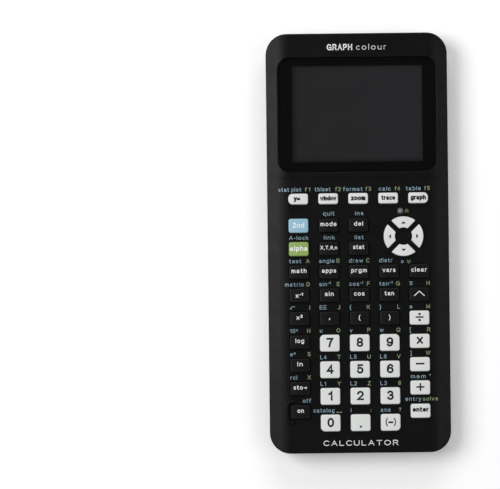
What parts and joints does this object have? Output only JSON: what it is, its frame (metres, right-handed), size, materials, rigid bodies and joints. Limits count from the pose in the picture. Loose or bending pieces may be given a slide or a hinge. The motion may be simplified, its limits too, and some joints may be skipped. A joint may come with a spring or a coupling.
{
  "type": "graphing calculator",
  "caption": "Slim handheld graphing calculator with a large colour display, an arrow pad, rows of sprung keys and a battery door in the back.",
  "frame": {"origin": "centre of the footprint, on the plane the four rubber feet stand on", "axes": "+Z out of the keypad, +Y towards the display end, +X to the reader's right"},
  "size_m": [0.0826, 0.1914, 0.0152],
  "materials": {
    "face_plastic": "satin black, fine moulded grain",
    "back_plastic": "matt black, moulded texture",
    "window_clear": "clear with a black printed border underneath",
    "panel_glass": "dark display, switched off",
    "mat_rubber": "translucent grey silicone",
    "board_laminate": "green solder mask",
    "battery_wrap": "shrink wrap",
    "screw_steel": "blackened steel",
    "foot_rubber": "matt black rubber",
    "key_black": "satin black",
    "key_white": "satin white",
    "key_blue": "satin light blue",
    "key_green": "satin green"
  },
  "bodies": {
    "case": {"front_cover": "face_plastic", "rear_cover": "back_plastic", "display_window": "window_clear", "display_module": "panel_glass", "key_mat": "mat_rubber", "main_board": "board_laminate", "battery_pack": "battery_wrap", "case_screws": "screw_steel", "rubber_feet": "foot_rubber"},
    "battery_door": {"battery_cover": "back_plastic"},
    "button_y_equals": {"key_y_equals": "key_white"},
    "button_window": {"key_window": "key_white"},
    "button_zoom": {"key_zoom": "key_white"},
    "button_trace": {"key_trace": "key_white"},
    "button_graph": {"key_graph": "key_white"},
    "button_second": {"key_second": "key_blue"},
    "button_mode": {"key_mode": "key_black"},
    "button_delete": {"key_delete": "key_black"},
    "button_alpha": {"key_alpha": "key_green"},
    "button_variable": {"key_variable": "key_black"},
    "button_stat": {"key_stat": "key_black"},
    "button_up": {"key_up": "key_white"},
    "button_down": {"key_down": "key_white"},
    "button_left": {"key_left": "key_white"},
    "button_right": {"key_right": "key_white"},
    "button_math": {"key_math": "key_black"},
    "button_apps": {"key_apps": "key_black"},
    "button_program": {"key_program": "key_black"},
    "button_vars": {"key_vars": "key_black"},
    "button_clear": {"key_clear": "key_black"},
    "button_inverse": {"key_inverse": "key_black"},
    "button_sin": {"key_sin": "key_black"},
    "button_cos": {"key_cos": "key_black"},
    "button_tan": {"key_tan": "key_black"},
    "button_power": {"key_power": "key_black"},
    "button_square": {"key_square": "key_black"},
    "button_comma": {"key_comma": "key_black"},
    "button_open_bracket": {"key_open_bracket": "key_black"},
    "button_close_bracket": {"key_close_bracket": "key_black"},
    "button_divide": {"key_divide": "key_white"},
    "button_log": {"key_log": "key_black"},
    "button_7": {"key_7": "key_white"},
    "button_8": {"key_8": "key_white"},
    "button_9": {"key_9": "key_white"},
    "button_multiply": {"key_multiply": "key_white"},
    "button_ln": {"key_ln": "key_black"},
    "button_4": {"key_4": "key_white"},
    "button_5": {"key_5": "key_white"},
    "button_6": {"key_6": "key_white"},
    "button_minus": {"key_minus": "key_white"},
    "button_store": {"key_store": "key_black"},
    "button_1": {"key_1": "key_white"},
    "button_2": {"key_2": "key_white"},
    "button_3": {"key_3": "key_white"},
    "button_plus": {"key_plus": "key_white"},
    "button_on": {"key_on": "key_black"},
    "button_0": {"key_0": "key_white"},
    "button_point": {"key_point": "key_white"},
    "button_negative": {"key_negative": "key_white"},
    "button_enter": {"key_enter": "key_white"}
  },
  "joints": [
    {"name": "press_y_equals", "type": "slide", "parent": "case", "child": "button_y_equals", "axis": [0, 0, -1], "range_m": [0, 0.001], "stiffness_N_per_m": 400, "deforming": ["key_mat"]},
    {"name": "press_window", "type": "slide", "parent": "case", "child": "button_window", "axis": [0, 0, -1], "range_m": [0, 0.001], "stiffness_N_per_m": 400, "deforming": ["key_mat"]},
    {"name": "press_zoom", "type": "slide", "parent": "case", "child": "button_zoom", "axis": [0, 0, -1], "range_m": [0, 0.001], "stiffness_N_per_m": 400, "deforming": ["key_mat"]},
    {"name": "press_trace", "type": "slide", "parent": "case", "child": "button_trace", "axis": [0, 0, -1], "range_m": [0, 0.001], "stiffness_N_per_m": 400, "deforming": ["key_mat"]},
    {"name": "press_graph", "type": "slide", "parent": "case", "child": "button_graph", "axis": [0, 0, -1], "range_m": [0, 0.001], "stiffness_N_per_m": 400, "deforming": ["key_mat"]},
    {"name": "press_second", "type": "slide", "parent": "case", "child": "button_second", "axis": [0, 0, -1], "range_m": [0, 0.001], "stiffness_N_per_m": 400, "deforming": ["key_mat"]},
    {"name": "press_mode", "type": "slide", "parent": "case", "child": "button_mode", "axis": [0, 0, -1], "range_m": [0, 0.001], "stiffness_N_per_m": 400, "deforming": ["key_mat"]},
    {"name": "press_delete", "type": "slide", "parent": "case", "child": "button_delete", "axis": [0, 0, -1], "range_m": [0, 0.001], "stiffness_N_per_m": 400, "deforming": ["key_mat"]},
    {"name": "press_alpha", "type": "slide", "parent": "case", "child": "button_alpha", "axis": [0, 0, -1], "range_m": [0, 0.001], "stiffness_N_per_m": 400, "deforming": ["key_mat"]},
    {"name": "press_variable", "type": "slide", "parent": "case", "child": "button_variable", "axis": [0, 0, -1], "range_m": [0, 0.001], "stiffness_N_per_m": 400, "deforming": ["key_mat"]},
    {"name": "press_stat", "type": "slide", "parent": "case", "child": "button_stat", "axis": [0, 0, -1], "range_m": [0, 0.001], "stiffness_N_per_m": 400, "deforming": ["key_mat"]},
    {"name": "press_up", "type": "slide", "parent": "case", "child": "button_up", "axis": [0, 0, -1], "range_m": [0, 0.001], "stiffness_N_per_m": 400, "deforming": ["key_mat"]},
    {"name": "press_down", "type": "slide", "parent": "case", "child": "button_down", "axis": [0, 0, -1], "range_m": [0, 0.001], "stiffness_N_per_m": 400, "deforming": ["key_mat"]},
    {"name": "press_left", "type": "slide", "parent": "case", "child": "button_left", "axis": [0, 0, -1], "range_m": [0, 0.001], "stiffness_N_per_m": 400, "deforming": ["key_mat"]},
    {"name": "press_right", "type": "slide", "parent": "case", "child": "button_right", "axis": [0, 0, -1], "range_m": [0, 0.001], "stiffness_N_per_m": 400, "deforming": ["key_mat"]},
    {"name": "press_math", "type": "slide", "parent": "case", "child": "button_math", "axis": [0, 0, -1], "range_m": [0, 0.001], "stiffness_N_per_m": 400, "deforming": ["key_mat"]},
    {"name": "press_apps", "type": "slide", "parent": "case", "child": "button_apps", "axis": [0, 0, -1], "range_m": [0, 0.001], "stiffness_N_per_m": 400, "deforming": ["key_mat"]},
    {"name": "press_program", "type": "slide", "parent": "case", "child": "button_program", "axis": [0, 0, -1], "range_m": [0, 0.001], "stiffness_N_per_m": 400, "deforming": ["key_mat"]},
    {"name": "press_vars", "type": "slide", "parent": "case", "child": "button_vars", "axis": [0, 0, -1], "range_m": [0, 0.001], "stiffness_N_per_m": 400, "deforming": ["key_mat"]},
    {"name": "press_clear", "type": "slide", "parent": "case", "child": "button_clear", "axis": [0, 0, -1], "range_m": [0, 0.001], "stiffness_N_per_m": 400, "deforming": ["key_mat"]},
    {"name": "press_inverse", "type": "slide", "parent": "case", "child": "button_inverse", "axis": [0, 0, -1], "range_m": [0, 0.001], "stiffness_N_per_m": 400, "deforming": ["key_mat"]},
    {"name": "press_sin", "type": "slide", "parent": "case", "child": "button_sin", "axis": [0, 0, -1], "range_m": [0, 0.001], "stiffness_N_per_m": 400, "deforming": ["key_mat"]},
    {"name": "press_cos", "type": "slide", "parent": "case", "child": "button_cos", "axis": [0, 0, -1], "range_m": [0, 0.001], "stiffness_N_per_m": 400, "deforming": ["key_mat"]},
    {"name": "press_tan", "type": "slide", "parent": "case", "child": "button_tan", "axis": [0, 0, -1], "range_m": [0, 0.001], "stiffness_N_per_m": 400, "deforming": ["key_mat"]},
    {"name": "press_power", "type": "slide", "parent": "case", "child": "button_power", "axis": [0, 0, -1], "range_m": [0, 0.001], "stiffness_N_per_m": 400, "deforming": ["key_mat"]},
    {"name": "press_square", "type": "slide", "parent": "case", "child": "button_square", "axis": [0, 0, -1], "range_m": [0, 0.001], "stiffness_N_per_m": 400, "deforming": ["key_mat"]},
    {"name": "press_comma", "type": "slide", "parent": "case", "child": "button_comma", "axis": [0, 0, -1], "range_m": [0, 0.001], "stiffness_N_per_m": 400, "deforming": ["key_mat"]},
    {"name": "press_open_bracket", "type": "slide", "parent": "case", "child": "button_open_bracket", "axis": [0, 0, -1], "range_m": [0, 0.001], "stiffness_N_per_m": 400, "deforming": ["key_mat"]},
    {"name": "press_close_bracket", "type": "slide", "parent": "case", "child": "button_close_bracket", "axis": [0, 0, -1], "range_m": [0, 0.001], "stiffness_N_per_m": 400, "deforming": ["key_mat"]},
    {"name": "press_divide", "type": "slide", "parent": "case", "child": "button_divide", "axis": [0, 0, -1], "range_m": [0, 0.001], "stiffness_N_per_m": 400, "deforming": ["key_mat"]},
    {"name": "press_log", "type": "slide", "parent": "case", "child": "button_log", "axis": [0, 0, -1], "range_m": [0, 0.001], "stiffness_N_per_m": 400, "deforming": ["key_mat"]},
    {"name": "press_7", "type": "slide", "parent": "case", "child": "button_7", "axis": [0, 0, -1], "range_m": [0, 0.001], "stiffness_N_per_m": 400, "deforming": ["key_mat"]},
    {"name": "press_8", "type": "slide", "parent": "case", "child": "button_8", "axis": [0, 0, -1], "range_m": [0, 0.001], "stiffness_N_per_m": 400, "deforming": ["key_mat"]},
    {"name": "press_9", "type": "slide", "parent": "case", "child": "button_9", "axis": [0, 0, -1], "range_m": [0, 0.001], "stiffness_N_per_m": 400, "deforming": ["key_mat"]},
    {"name": "press_multiply", "type": "slide", "parent": "case", "child": "button_multiply", "axis": [0, 0, -1], "range_m": [0, 0.001], "stiffness_N_per_m": 400, "deforming": ["key_mat"]},
    {"name": "press_ln", "type": "slide", "parent": "case", "child": "button_ln", "axis": [0, 0, -1], "range_m": [0, 0.001], "stiffness_N_per_m": 400, "deforming": ["key_mat"]},
    {"name": "press_4", "type": "slide", "parent": "case", "child": "button_4", "axis": [0, 0, -1], "range_m": [0, 0.001], "stiffness_N_per_m": 400, "deforming": ["key_mat"]},
    {"name": "press_5", "type": "slide", "parent": "case", "child": "button_5", "axis": [0, 0, -1], "range_m": [0, 0.001], "stiffness_N_per_m": 400, "deforming": ["key_mat"]},
    {"name": "press_6", "type": "slide", "parent": "case", "child": "button_6", "axis": [0, 0, -1], "range_m": [0, 0.001], "stiffness_N_per_m": 400, "deforming": ["key_mat"]},
    {"name": "press_minus", "type": "slide", "parent": "case", "child": "button_minus", "axis": [0, 0, -1], "range_m": [0, 0.001], "stiffness_N_per_m": 400, "deforming": ["key_mat"]},
    {"name": "press_store", "type": "slide", "parent": "case", "child": "button_store", "axis": [0, 0, -1], "range_m": [0, 0.001], "stiffness_N_per_m": 400, "deforming": ["key_mat"]},
    {"name": "press_1", "type": "slide", "parent": "case", "child": "button_1", "axis": [0, 0, -1], "range_m": [0, 0.001], "stiffness_N_per_m": 400, "deforming": ["key_mat"]},
    {"name": "press_2", "type": "slide", "parent": "case", "child": "button_2", "axis": [0, 0, -1], "range_m": [0, 0.001], "stiffness_N_per_m": 400, "deforming": ["key_mat"]},
    {"name": "press_3", "type": "slide", "parent": "case", "child": "button_3", "axis": [0, 0, -1], "range_m": [0, 0.001], "stiffness_N_per_m": 400, "deforming": ["key_mat"]},
    {"name": "press_plus", "type": "slide", "parent": "case", "child": "button_plus", "axis": [0, 0, -1], "range_m": [0, 0.001], "stiffness_N_per_m": 400, "deforming": ["key_mat"]},
    {"name": "press_on", "type": "slide", "parent": "case", "child": "button_on", "axis": [0, 0, -1], "range_m": [0, 0.001], "stiffness_N_per_m": 400, "deforming": ["key_mat"]},
    {"name": "press_0", "type": "slide", "parent": "case", "child": "button_0", "axis": [0, 0, -1], "range_m": [0, 0.001], "stiffness_N_per_m": 400, "deforming": ["key_mat"]},
    {"name": "press_point", "type": "slide", "parent": "case", "child": "button_point", "axis": [0, 0, -1], "range_m": [0, 0.001], "stiffness_N_per_m": 400, "deforming": ["key_mat"]},
    {"name": "press_negative", "type": "slide", "parent": "case", "child": "button_negative", "axis": [0, 0, -1], "range_m": [0, 0.001], "stiffness_N_per_m": 400, "deforming": ["key_mat"]},
    {"name": "press_enter", "type": "slide", "parent": "case", "child": "button_enter", "axis": [0, 0, -1], "range_m": [0, 0.001], "stiffness_N_per_m": 400, "deforming": ["key_mat"]},
    {"name": "door_swing", "type": "hinge", "parent": "case", "child": "battery_door", "pos_m": [0, 0.0048, 0.0008], "axis": [1, 0, 0], "range_deg": [0, 35]}
  ]
}
